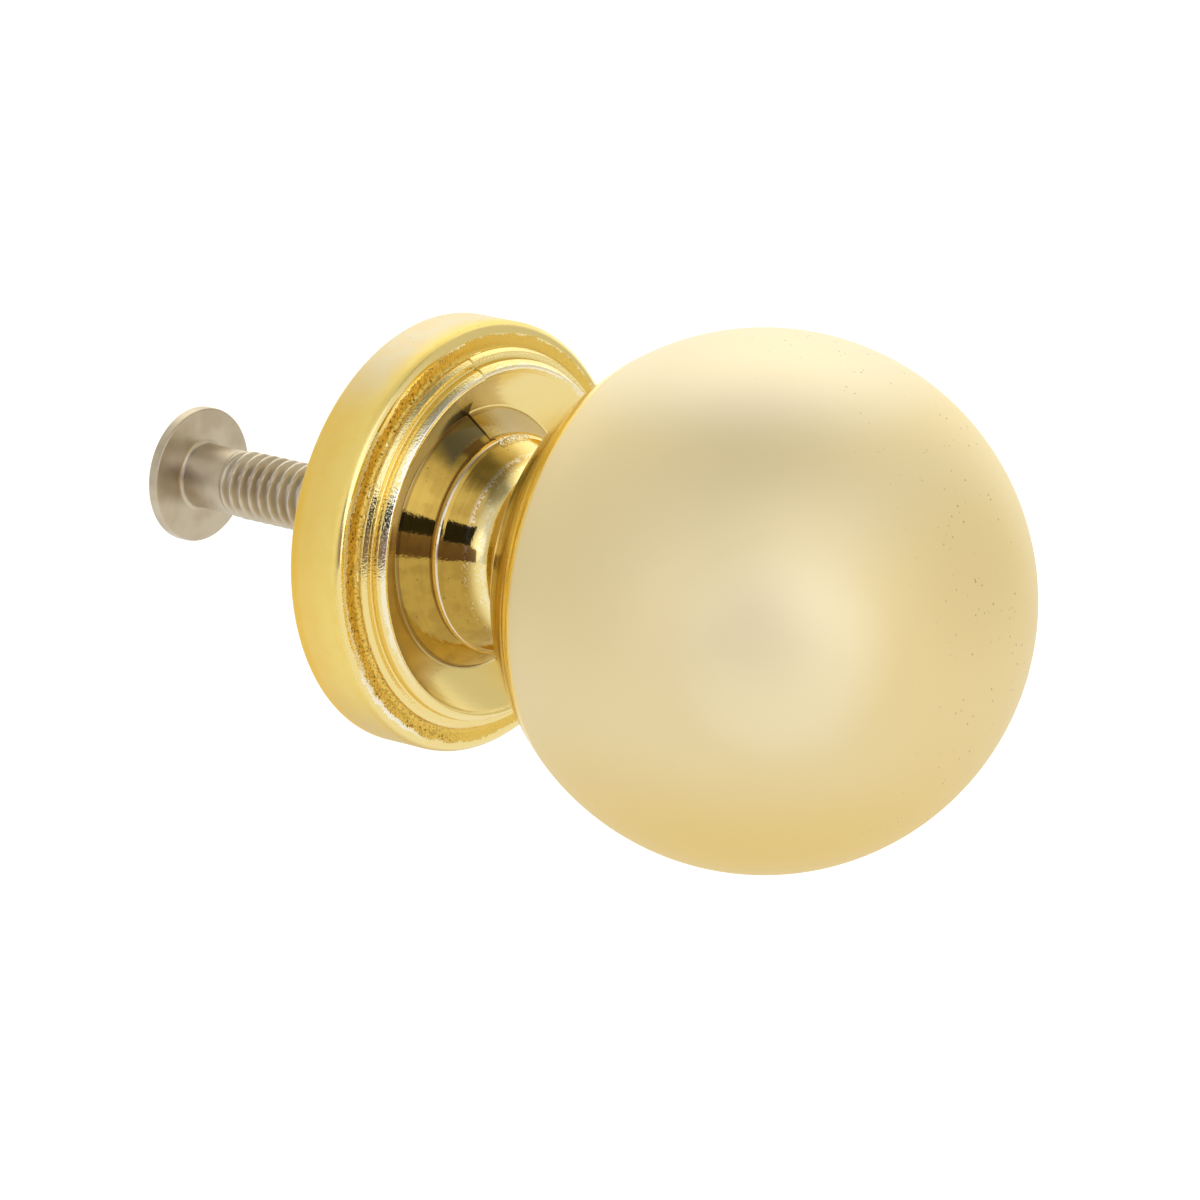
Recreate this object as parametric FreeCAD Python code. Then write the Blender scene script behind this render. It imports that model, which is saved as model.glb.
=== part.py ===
import FreeCAD, Part

import math
import os

# A cabinet knob: a ball on a waisted neck that grows out of a stepped round rosette, all one casting,
# with the machine screw that holds it to a door or a drawer front.
# The rosette's back lies on y = 0, the ball points towards -Y, the screw leaves towards +Y and +Z is up.
# Lengths are millimetres. A radius is measured from the knob's axis, and a height from the rosette's
# back towards the ball.

# Ball, and the gap between the rosette's land and the back of the ball's full sphere
ball_diameter = 31.75
neck_gap = 4.85

# Rosette, from its outside inwards
rosette_diameter = 26.1
back_edge_round = 0.3
rim_height = 3.9
rim_round = 0.65
rim_lip_width = 0.2
cove_floor_width = 0.4
cove_radius = 0.3
land_wall_height = 0.12
land_bevel_width = 0.2
land_bevel_height = 0.28
land_width = 0.27
groove_width = 0.15
groove_depth = 0.1
bead_wall_height = 0.4
bead_bevel_width = 0.25
bead_bevel_height = 0.36
bead_crown_width = 0.3
bead_crown_height = 0.07
bead_fall = 0.03
dish_depth = 0.9
dish_sag = 0.12

# Neck: a taper up out of the dish, a fine ring, a second taper, and a hollow from there into the ball
ring_diameter = 13.32
ring_rise = 1.1
ring_width = 0.75
ring_lower_step = 0.18
ring_upper_step = 0.24
neck_foot_diameter = 15.7
upper_taper_length = 1.33
upper_taper_angle = 34.0

# Back of the rosette: a rim that bears on the door, a recess, and a boss a little below the rim
back_rim_width = 1.5
back_recess_depth = 0.8
back_corner_fillet = 0.3
boss_diameter = 9.0
boss_setback = 0.15

# Screw, its head on the far side of the door
screw_diameter = 4.166
screw_length = 25.4
thread_pitch = 0.794
door_thickness = 19.0
plain_shank_diameter = 3.95
plain_shank_length = 3.0
under_head_fillet = 0.25
screw_tip_chamfer = 0.5
head_diameter = 8.3
head_edge_height = 0.65
head_height = 2.2
head_edge_round = 0.1

# Cross recess in the screw's head
cross_span = 4.3
cross_wing_width = 1.0
cross_depth = 1.5
cross_floor_span = 2.0
cross_floor_wing_width = 0.6

# Threaded hole that takes the screw
thread_clearance = 0.05
hole_run_out = 2.0
hole_mouth_chamfer = 0.35
drill_point_angle = 118.0


class Outline:
    """A closed outline of lines and arcs in the half plane of radius and place along the axis."""

    def __init__(self, radius, place, along):
        self.along = along
        self.edges = []
        self.first = (radius, place)
        self.last = (radius, place)

    def point(self, spot):
        return FreeCAD.Vector(spot[0], self.along * spot[1], 0)

    def line(self, radius, place):
        end = (radius, place)
        self.edges.append(Part.LineSegment(self.point(self.last), self.point(end)).toShape())
        self.last = end

    def arc(self, through, end):
        curve = Part.Arc(self.point(self.last), self.point(through), self.point(end))
        self.edges.append(curve.toShape())
        self.last = end

    def quarter(self, end, corner, radius):
        """A quarter round to end; corner is where its two tangents cross."""
        centre = (self.last[0] + end[0] - corner[0], self.last[1] + end[1] - corner[1])
        reach = math.hypot(corner[0] - centre[0], corner[1] - centre[1])
        through = tuple(centre[i] + (corner[i] - centre[i]) * radius / reach for i in (0, 1))
        self.arc(through, end)

    def turned(self):
        self.line(*self.first)
        face = Part.Face(Part.Wire(self.edges))
        return face.revolve(FreeCAD.Vector(0, 0, 0), FreeCAD.Vector(0, 1, 0), 360)


def on_circle(centre, radius, angle):
    return (centre[0] + radius * math.cos(angle), centre[1] + radius * math.sin(angle))


def arc_middle(centre, radius, start, end):
    """The middle of the shorter arc from start to end."""
    lean = (start[0] + end[0] - 2 * centre[0], start[1] + end[1] - 2 * centre[1])
    return on_circle(centre, radius, math.atan2(lean[1], lean[0]))


# Sizes that follow from the driving dimensions
ball_radius = ball_diameter / 2
rosette_radius = rosette_diameter / 2
cove_top = rim_height + cove_radius
land_height = cove_top + land_wall_height + land_bevel_height
ball_height = land_height + neck_gap + ball_radius
cove_outer_radius = rosette_radius - rim_round - rim_lip_width
cove_inner_radius = cove_outer_radius - cove_floor_width - cove_radius
land_outer_radius = cove_inner_radius - land_bevel_width
land_inner_radius = land_outer_radius - land_width
bead_outer_radius = land_inner_radius - groove_width
bead_top_radius = bead_outer_radius - bead_bevel_width
bead_top = land_height + bead_wall_height + bead_bevel_height
dish_floor = land_height - dish_depth
ring_radius = ring_diameter / 2
ring_height = land_height + ring_rise


def rosette_steps(outline):
    """Side of the rim, cove, bevelled land, fine groove and bevelled bead, from the back inwards."""
    outline.line(rosette_radius - back_edge_round, 0)
    outline.quarter((rosette_radius, back_edge_round), (rosette_radius, 0), back_edge_round)
    outline.line(rosette_radius, rim_height - rim_round)
    outline.quarter((rosette_radius - rim_round, rim_height), (rosette_radius, rim_height), rim_round)
    outline.line(cove_inner_radius + cove_radius, rim_height)
    outline.quarter((cove_inner_radius, cove_top), (cove_inner_radius, rim_height), cove_radius)
    outline.line(cove_inner_radius, cove_top + land_wall_height)
    outline.line(land_outer_radius, land_height)
    outline.line(land_inner_radius, land_height)
    groove_bottom = (land_inner_radius - groove_width / 2, land_height - groove_depth)
    outline.arc(groove_bottom, (bead_outer_radius, land_height))
    outline.line(bead_outer_radius, land_height + bead_wall_height)
    outline.line(bead_top_radius, bead_top)
    crest = (bead_top_radius - bead_crown_width / 2, bead_top + bead_crown_height)
    outline.arc(crest, (bead_top_radius - bead_crown_width, bead_top - bead_fall))


def dish_and_foot(outline):
    """Slightly hollow dish from the bead down to the neck's foot."""
    start = outline.last
    foot = (neck_foot_diameter / 2, dish_floor)
    run = (start[0] - foot[0], start[1] - foot[1])
    length = math.hypot(*run)
    middle = ((start[0] + foot[0]) / 2, (start[1] + foot[1]) / 2)
    sagged = (middle[0] + dish_sag * run[1] / length, middle[1] - dish_sag * run[0] / length)
    outline.arc(sagged, foot)


def taper_and_hollow(outline):
    """Taper inwards from the ring, then a hollow arc tangent to it and to the ball; gives its end's angle.

    The arc's centre lies off the taper's end by its radius, square to the taper, and from the ball's centre
    by both radii together. The squares of the arc's radius cancel out between the two conditions.
    """
    angle = math.radians(upper_taper_angle)
    start = (outline.last[0] - upper_taper_length * math.tan(angle), outline.last[1] + upper_taper_length)
    outline.line(*start)
    offset = (start[0], start[1] - ball_height)
    square_on = offset[0] * math.cos(angle) + offset[1] * math.sin(angle)
    clearance = offset[0] ** 2 + offset[1] ** 2 - ball_radius**2
    radius = clearance / (2 * (ball_radius - square_on))
    centre = on_circle(start, radius, angle)
    lean = math.atan2(centre[1] - ball_height, centre[0])
    end = on_circle((0, ball_height), ball_radius, lean)
    outline.arc(arc_middle(centre, radius, start, end), end)
    return lean


def casting_body():
    ring_low = (ring_radius - ring_lower_step, ring_height - ring_width / 2)
    ring_high = (ring_radius - ring_upper_step, ring_height + ring_width / 2)
    outline = Outline(0, 0, -1)
    rosette_steps(outline)
    dish_and_foot(outline)
    outline.line(*ring_low)
    outline.arc((ring_radius, ring_height), ring_high)
    ball_start = taper_and_hollow(outline)
    ball_side = on_circle((0, ball_height), ball_radius, (ball_start + math.pi / 2) / 2)
    outline.arc(ball_side, (0, ball_height + ball_radius))
    return outline.turned()


def back_recess():
    """Ring-shaped hollow in the rosette's back, with rounded corners at its floor, round a low boss."""
    outer = rosette_radius - back_rim_width
    inner = boss_diameter / 2
    floor = back_recess_depth
    bend = back_corner_fillet
    outline = Outline(0, 0, -1)
    outline.line(outer, 0)
    outline.line(outer, floor - bend)
    outline.quarter((outer - bend, floor), (outer, floor), bend)
    outline.line(inner + bend, floor)
    outline.quarter((inner, floor - bend), (inner, floor), bend)
    outline.line(inner, boss_setback)
    outline.line(0, boss_setback)
    return outline.turned()


def threaded_hole():
    """Blind hole with a chamfered mouth and a drilled point, clear of the screw's thread all round."""
    radius = screw_diameter / 2 + thread_clearance
    depth = screw_length - door_thickness + hole_run_out
    point = radius / math.tan(math.radians(drill_point_angle / 2))
    outline = Outline(0, 0, -1)
    outline.line(radius + hole_mouth_chamfer, 0)
    outline.line(radius + hole_mouth_chamfer, boss_setback)
    outline.line(radius, boss_setback + hole_mouth_chamfer)
    outline.line(radius, depth)
    outline.line(0, depth + point)
    return outline.turned()


def knob():
    return casting_body().cut(back_recess()).cut(threaded_hole())


def screw_blank():
    """Tip, threaded length at its full diameter, plain shank, fillet and low domed head."""
    radius = screw_diameter / 2
    plain = plain_shank_diameter / 2
    head = head_diameter / 2
    tip = door_thickness - screw_length
    plain_start = door_thickness - plain_shank_length
    edge_top = door_thickness + head_edge_height
    top = door_thickness + head_height
    outline = Outline(0, tip, 1)
    outline.line(radius - screw_tip_chamfer, tip)
    outline.line(radius, tip + screw_tip_chamfer)
    outline.line(radius, plain_start - thread_pitch)
    outline.line(plain, plain_start)
    outline.line(plain, door_thickness - under_head_fillet)
    fillet_corner = (plain, door_thickness)
    outline.quarter((plain + under_head_fillet, door_thickness), fillet_corner, under_head_fillet)
    outline.line(head - head_edge_round, door_thickness)
    rounded = (head, door_thickness + head_edge_round)
    outline.quarter(rounded, (head, door_thickness), head_edge_round)
    outline.line(head, edge_top)
    dome_rise = top - edge_top
    dome_radius = (head**2 + dome_rise**2) / (2 * dome_rise)
    dome_centre = (0, top - dome_radius)
    outline.arc(arc_middle(dome_centre, dome_radius, (head, edge_top), (0, top)), (0, top))
    return outline.turned()


def rectangle(width, height, place):
    """A rectangle across the axis, centred on it."""
    corners = [(-1, -1), (1, -1), (1, 1), (-1, 1), (-1, -1)]
    points = [FreeCAD.Vector(a * width / 2, place, b * height / 2) for a, b in corners]
    return Part.makePolygon(points)


def cross_recess():
    """Two tapering wings at right angles, sunk from the crown of the dome."""
    top = door_thickness + head_height
    floor = top - cross_depth
    flat = Part.makeLoft(
        [
            rectangle(cross_span, cross_wing_width, top),
            rectangle(cross_floor_span, cross_floor_wing_width, floor),
        ],
        True,
    )
    upright = flat.copy()
    upright.rotate(FreeCAD.Vector(0, 0, 0), FreeCAD.Vector(0, 1, 0), 90)
    return flat.fuse(upright)


def mounting_screw():
    return screw_blank().cut(cross_recess())


nodes = {"knob": knob(), "mounting_screw": mounting_screw()}

os.makedirs("parts", exist_ok=True)
for name, shape in nodes.items():
    solid = shape.Solids[0]
    print(name, "solids", len(shape.Solids), "valid", solid.isValid(), "volume mm3", round(solid.Volume, 1))
    solid.exportStep(f"parts/{name}.step")
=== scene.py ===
# %% [markdown]
# # A gold-plated cabinet knob
# The knob is a ball on a waisted neck that grows out of a stepped round rosette, cast in one piece and
# plated. A machine screw holds it from behind the door. This lesson dresses the engineering model: each
# piece is made again as a fine mesh of the same size and put exactly where the engineering model has it.

# %% Load the frame
import math

import bmesh
import bpy
from mathutils import Matrix, Vector
from mathutils.bvhtree import BVHTree


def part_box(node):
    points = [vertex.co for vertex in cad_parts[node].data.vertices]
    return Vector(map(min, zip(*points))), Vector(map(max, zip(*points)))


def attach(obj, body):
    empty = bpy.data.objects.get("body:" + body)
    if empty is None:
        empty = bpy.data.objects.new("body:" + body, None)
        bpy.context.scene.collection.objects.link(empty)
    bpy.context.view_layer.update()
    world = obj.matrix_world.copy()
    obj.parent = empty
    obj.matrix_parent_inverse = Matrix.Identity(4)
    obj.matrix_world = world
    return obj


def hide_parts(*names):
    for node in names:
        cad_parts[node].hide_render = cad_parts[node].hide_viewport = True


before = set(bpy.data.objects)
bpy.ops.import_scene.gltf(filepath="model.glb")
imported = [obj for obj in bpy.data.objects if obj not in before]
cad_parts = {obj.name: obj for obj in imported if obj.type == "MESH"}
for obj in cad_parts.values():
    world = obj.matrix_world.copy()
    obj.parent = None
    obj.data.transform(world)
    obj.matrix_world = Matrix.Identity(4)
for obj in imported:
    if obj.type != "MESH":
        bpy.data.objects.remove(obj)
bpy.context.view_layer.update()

MM = 0.001

# %% [markdown]
# ## Arithmetic on node sockets
# Materials and Geometry Nodes trees are both graphs of small nodes. Linking Math nodes by hand is slow
# to write and hard to read, so a small class wraps a socket and turns each Python operator into a Math
# node. Colours and vectors go through Mix and Vector Math instead, because a Math node would turn them
# grey.

# %% A socket that can be calculated with


class Wire:
    """An output socket; arithmetic on it adds the Math nodes that work it out."""

    def __init__(self, graph, socket):
        self.graph = graph
        self.socket = socket

    def maths(self, operation, first, second=0.0):
        settings = {"operation": operation}
        return self.graph.node("ShaderNodeMath", settings, {0: first, 1: second})

    def __add__(self, other):
        return self.maths("ADD", self, other)

    def __radd__(self, other):
        return self.maths("ADD", other, self)

    def __sub__(self, other):
        return self.maths("SUBTRACT", self, other)

    def __rsub__(self, other):
        return self.maths("SUBTRACT", other, self)

    def __mul__(self, other):
        return self.maths("MULTIPLY", self, other)

    def __truediv__(self, other):
        return self.maths("DIVIDE", self, other)

    def __rtruediv__(self, other):
        return self.maths("DIVIDE", other, self)

    def function(self, operation, second=0.0):
        """Any other Math operation, with this socket as its first value."""
        return self.maths(operation, self, second)

    def rising(self, start, end):
        """0 below start and 1 above end, with a smooth step between them."""
        smooth = {"interpolation_type": "SMOOTHSTEP"}
        values = {"Value": self, "From Min": start, "From Max": end}
        return self.graph.node("ShaderNodeMapRange", smooth, values)

    def falling(self, start, end):
        """1 below start and 0 above end, with a smooth step between them."""
        return 1.0 - self.rising(start, end)

    def between(self, start, end, soft):
        """1 from start to end, fading to 0 within soft outside them."""
        return self.rising(start - soft, start) * self.falling(end, end + soft)


class Graph:
    """A node tree, with one method that adds any node."""

    def __init__(self, tree):
        self.tree = tree

    def node(self, kind, settings=None, values=None, output=0):
        """Adds a node: its settings first, then the values or links of its input sockets."""
        made = self.tree.nodes.new(kind)
        for name, value in (settings or {}).items():
            setattr(made, name, value)
        for name, value in (values or {}).items():
            socket = made.inputs[name]
            if isinstance(value, Wire):
                self.tree.links.new(value.socket, socket)
            else:
                socket.default_value = value
        return Wire(self, made.outputs[output]) if made.outputs else made

    def vector(self, operation, first, second, output=0):
        return self.node("ShaderNodeVectorMath", {"operation": operation}, {0: first, 1: second}, output)

    def dot(self, first, second):
        return self.vector("DOT_PRODUCT", first, second, 1)

    def combine(self, x, y, z):
        return self.node("ShaderNodeCombineXYZ", None, {0: x, 1: y, 2: z})

    def split(self, vector):
        """The x, y and z of a vector."""
        parts = self.node("ShaderNodeSeparateXYZ", None, {0: vector}).socket.node.outputs
        return [Wire(self, part) for part in parts]

    def mix(self, share, first, second):
        """A colour that is first where share is 0 and second where it is 1."""
        return self.node("ShaderNodeMix", {"data_type": "RGBA"}, {0: share, 6: first, 7: second}, 2)


print("sockets now add, subtract, multiply and divide")

# %% [markdown]
# ## A cross-section drawn with lines and arcs
# Every piece of this knob is turned round one axis, so its whole shape is half a cross-section. It is
# written as a maker would draw it, with lines and arcs, divided so finely that no facet shows in a
# polished reflection. A straight line also gets a point very close to each of its ends: smooth shading
# then bends only in that last hair's breadth, like the tiny rounding of a real edge.

# %% A half section
EDGE_EASE = 0.03  # mm from a corner where the shading starts to turn
LINE_SPACING = 0.6


def on_circle(centre, radius, angle):
    return (centre[0] + radius * math.cos(angle), centre[1] + radius * math.sin(angle))


def angle_from(centre, point):
    return math.atan2(point[1] - centre[1], point[0] - centre[0])


class Section:
    """Points of a half section as (radius, height) in millimetres."""

    def __init__(self, radius, height, spacing):
        self.points = [(radius, height)]
        self.spacing = spacing

    def line(self, radius, height, spacing=LINE_SPACING):
        start = self.points[-1]
        length = math.dist(start, (radius, height))
        count = max(1, math.ceil(length / spacing))
        shares = [step / count for step in range(1, count + 1)]
        if length / count > 2 * EDGE_EASE:
            shares = sorted(shares + [EDGE_EASE / length, 1 - EDGE_EASE / length])
        for share in shares:
            across = start[0] + (radius - start[0]) * share
            self.points.append((across, start[1] + (height - start[1]) * share))

    def arc(self, centre, end):
        """The shorter way round centre from the last point to end."""
        start = self.points[-1]
        radius = math.dist(centre, start)
        first = angle_from(centre, start)
        turn = (angle_from(centre, end) - first + math.pi) % (2 * math.pi) - math.pi
        steps = max(6, math.ceil(abs(turn) * radius / self.spacing))
        for step in range(1, steps):
            self.points.append(on_circle(centre, radius, first + turn * step / steps))
        self.points.append(end)

    def quarter(self, end, corner):
        """A quarter round to end; corner is where its two tangents cross."""
        start = self.points[-1]
        self.arc((start[0] + end[0] - corner[0], start[1] + end[1] - corner[1]), end)

    def hump(self, crest, end):
        """A low round through crest to end."""
        start = self.points[-1]
        ax, ay = crest[0] - start[0], crest[1] - start[1]
        bx, by = end[0] - start[0], end[1] - start[1]
        twice = 2 * (ax * by - ay * bx)
        x = (by * (ax**2 + ay**2) - ay * (bx**2 + by**2)) / twice
        y = (ax * (bx**2 + by**2) - bx * (ax**2 + ay**2)) / twice
        self.arc((start[0] + x, start[1] + y), end)


print("soft edges of", EDGE_EASE, "mm")

# %% [markdown]
# ## The casting's section
# Heights start at the rosette's back, which lies against the door, and grow towards the ball. The ball's
# size comes from the frame, the rest are the maker's sizes in millimetres. The hidden back has what such
# a casting has: a rim that bears on the door, a recess that saves metal, and a boss with the screw's
# hole.

# %% The back, with the screw's hole
knob_low, knob_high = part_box("knob")
screw_low, screw_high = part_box("mounting_screw")
SCREW_RADIUS = 2.083
THREAD_CLEARANCE = 0.05
HOLE_RUN_OUT = 2.0
DRILL_POINT = math.radians(59.0)
HOLE_MOUTH_CHAMFER = 0.35
BOSS_RADIUS = 4.5
BOSS_SETBACK = 0.15
RECESS_DEPTH = 0.8
RECESS_FILLET = 0.3
BACK_RIM_WIDTH = 1.5
ROSETTE_RADIUS = 13.05
BACK_SPACING = 0.8


def casting_back():
    radius = SCREW_RADIUS + THREAD_CLEARANCE
    depth = -screw_low.y / MM + HOLE_RUN_OUT
    section = Section(0, depth + radius / math.tan(DRILL_POINT), BACK_SPACING)
    section.line(radius, depth)
    section.line(radius, BOSS_SETBACK + HOLE_MOUTH_CHAMFER)
    section.line(radius + HOLE_MOUTH_CHAMFER, BOSS_SETBACK)
    section.line(BOSS_RADIUS, BOSS_SETBACK)
    section.line(BOSS_RADIUS, RECESS_DEPTH - RECESS_FILLET)
    section.quarter((BOSS_RADIUS + RECESS_FILLET, RECESS_DEPTH), (BOSS_RADIUS, RECESS_DEPTH))
    outer = ROSETTE_RADIUS - BACK_RIM_WIDTH
    section.line(outer - RECESS_FILLET, RECESS_DEPTH)
    section.quarter((outer, RECESS_DEPTH - RECESS_FILLET), (outer, RECESS_DEPTH))
    section.line(outer, 0)
    return section


print("hole", round(-screw_low.y / MM + HOLE_RUN_OUT, 2), "mm deep")

# %% [markdown]
# ## The rosette and the neck
# From its outside inwards the rosette has a tall rim, a rough cove, a flat land with a fine groove, a
# low bead and a dish. The neck tapers up out of the dish, carries a fine ring and tapers on. From there
# one hollow arc runs past the waist and into the ball, and it touches both without a kink. Its centre
# lies off the taper's end by its radius, square to the taper, and from the ball's centre by both radii
# together; the square of the arc's radius cancels out, so the radius follows from one division.

# %% The rosette's steps
RIM_HEIGHT = 3.9
RIM_ROUND = 0.65
RIM_LIP = 0.2
BACK_EDGE_ROUND = 0.3
COVE_FLOOR = 0.4
COVE_RADIUS = 0.3
LAND_WALL = 0.12
LAND_BEVEL_WIDTH = 0.2
LAND_BEVEL_HEIGHT = 0.28
LAND_WIDTH = 0.27
GROOVE_WIDTH = 0.15
GROOVE_DEPTH = 0.1
BEAD_WALL = 0.4
BEAD_BEVEL_WIDTH = 0.25
BEAD_BEVEL_HEIGHT = 0.36
BEAD_CROWN_WIDTH = 0.3
BEAD_CROWN_HEIGHT = 0.07
BEAD_FALL = 0.03
DISH_DEPTH = 0.9
FRONT_SPACING = 0.16
COVE_OUTER = ROSETTE_RADIUS - RIM_ROUND - RIM_LIP
COVE_INNER = COVE_OUTER - COVE_FLOOR - COVE_RADIUS
COVE_TOP = RIM_HEIGHT + COVE_RADIUS
LAND_OUTER = COVE_INNER - LAND_BEVEL_WIDTH
LAND_INNER = LAND_OUTER - LAND_WIDTH
LAND_HEIGHT = COVE_TOP + LAND_WALL + LAND_BEVEL_HEIGHT
BEAD_OUTER = LAND_INNER - GROOVE_WIDTH
BEAD_CREST = BEAD_OUTER - BEAD_BEVEL_WIDTH
BEAD_TOP = LAND_HEIGHT + BEAD_WALL + BEAD_BEVEL_HEIGHT
DISH_FLOOR = LAND_HEIGHT - DISH_DEPTH


def rim_and_cove(section):
    section.spacing = FRONT_SPACING
    rim = ROSETTE_RADIUS
    section.line(rim - BACK_EDGE_ROUND, 0)
    section.quarter((rim, BACK_EDGE_ROUND), (rim, 0))
    section.line(rim, RIM_HEIGHT - RIM_ROUND)
    section.quarter((rim - RIM_ROUND, RIM_HEIGHT), (rim, RIM_HEIGHT))
    section.line(COVE_INNER + COVE_RADIUS, RIM_HEIGHT)
    section.quarter((COVE_INNER, COVE_TOP), (COVE_INNER, RIM_HEIGHT))


def land_and_bead(section):
    section.line(COVE_INNER, COVE_TOP + LAND_WALL)
    section.line(LAND_OUTER, LAND_HEIGHT)
    section.line(LAND_INNER, LAND_HEIGHT)
    section.hump((LAND_INNER - GROOVE_WIDTH / 2, LAND_HEIGHT - GROOVE_DEPTH), (BEAD_OUTER, LAND_HEIGHT))
    section.line(BEAD_OUTER, LAND_HEIGHT + BEAD_WALL)
    section.line(BEAD_CREST, BEAD_TOP)
    crest = (BEAD_CREST - BEAD_CROWN_WIDTH / 2, BEAD_TOP + BEAD_CROWN_HEIGHT)
    section.hump(crest, (BEAD_CREST - BEAD_CROWN_WIDTH, BEAD_TOP - BEAD_FALL))


print("land at height", round(LAND_HEIGHT, 2), "mm")

# %% The dish, the ring and the ball
RING_RADIUS = 6.66
RING_RISE = 1.1
RING_WIDTH = 0.75
RING_LOWER_STEP = 0.18
RING_UPPER_STEP = 0.24
DISH_SAG = 0.12
FOOT_RADIUS = 7.85
TAPER_LENGTH = 1.33
TAPER_ANGLE = math.radians(34.0)
BALL_SPACING = 0.42
RING_HEIGHT = LAND_HEIGHT + RING_RISE
BALL_RADIUS = (knob_high.z - knob_low.z) / 2 / MM
BALL_HEIGHT = -knob_low.y / MM - BALL_RADIUS


def dish_and_foot(section):
    start = section.points[-1]
    run, fall = start[0] - FOOT_RADIUS, start[1] - DISH_FLOOR
    length = math.hypot(run, fall)
    middle = ((start[0] + FOOT_RADIUS) / 2, (start[1] + DISH_FLOOR) / 2)
    sagged = (middle[0] + DISH_SAG * fall / length, middle[1] - DISH_SAG * run / length)
    section.hump(sagged, (FOOT_RADIUS, DISH_FLOOR))
    section.line(RING_RADIUS - RING_LOWER_STEP, RING_HEIGHT - RING_WIDTH / 2)


def ring_hollow_and_ball(section):
    ring_high = (RING_RADIUS - RING_UPPER_STEP, RING_HEIGHT + RING_WIDTH / 2)
    section.hump((RING_RADIUS, RING_HEIGHT), ring_high)
    start = (ring_high[0] - TAPER_LENGTH * math.tan(TAPER_ANGLE), ring_high[1] + TAPER_LENGTH)
    section.line(*start)
    offset = (start[0], start[1] - BALL_HEIGHT)
    square_on = offset[0] * math.cos(TAPER_ANGLE) + offset[1] * math.sin(TAPER_ANGLE)
    clearance = offset[0] ** 2 + offset[1] ** 2 - BALL_RADIUS**2
    centre = on_circle(start, clearance / (2 * (BALL_RADIUS - square_on)), TAPER_ANGLE)
    ball_centre = (0, BALL_HEIGHT)
    section.arc(centre, on_circle(ball_centre, BALL_RADIUS, angle_from(ball_centre, centre)))
    section.spacing = BALL_SPACING
    section.arc(ball_centre, (0, BALL_HEIGHT + BALL_RADIUS))


casting_section = casting_back()
rim_and_cove(casting_section)
PLAIN_ROWS = len(casting_section.points)
land_and_bead(casting_section)
dish_and_foot(casting_section)
ring_hollow_and_ball(casting_section)
print("the section has", len(casting_section.points), "points,", PLAIN_ROWS, "of them up to the cove")

# %% [markdown]
# ## Turning a section with Geometry Nodes
# A lathe follows a rule: every point of the section runs round the axis. The tree makes a flat grid with
# one row for each point of the section and one column for each direction, and moves each vertex to its
# place. Both ends of a row meet, and the rows on the axis shrink to one point, so a merge closes them.
# A casting comes out of a mould in two halves that never meet perfectly. The columns are therefore laid
# out in two runs with a hair's breadth between them, and one half can be shifted a little.

# %% The lathe
SHIFT_FADE = 0.8  # mm over which the mould's mismatch dies out up the neck
MERGE_DISTANCE = 1e-7


def geometry_tree(name, inputs):
    """A Geometry Nodes tree with named inputs; gives its graph and a wire for each input."""
    tree = bpy.data.node_groups.new(name, "GeometryNodeTree")
    tree.interface.new_socket("Geometry", in_out="INPUT", socket_type="NodeSocketGeometry")
    for label, kind in inputs.items():
        tree.interface.new_socket(label, in_out="INPUT", socket_type="NodeSocket" + kind)
    tree.interface.new_socket("Geometry", in_out="OUTPUT", socket_type="NodeSocketGeometry")
    graph = Graph(tree)
    start = tree.nodes.new("NodeGroupInput")
    return graph, {socket.name: Wire(graph, socket) for socket in start.outputs if socket.name}


def finish_tree(graph, geometry, material):
    """Ends a tree in real geometry that carries its material."""
    real = graph.node("GeometryNodeRealizeInstances", None, {0: geometry})
    dressed = graph.node("GeometryNodeSetMaterial", None, {"Geometry": real, "Material": material})
    graph.node("NodeGroupOutput", None, {0: dressed})
    return graph.tree


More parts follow.
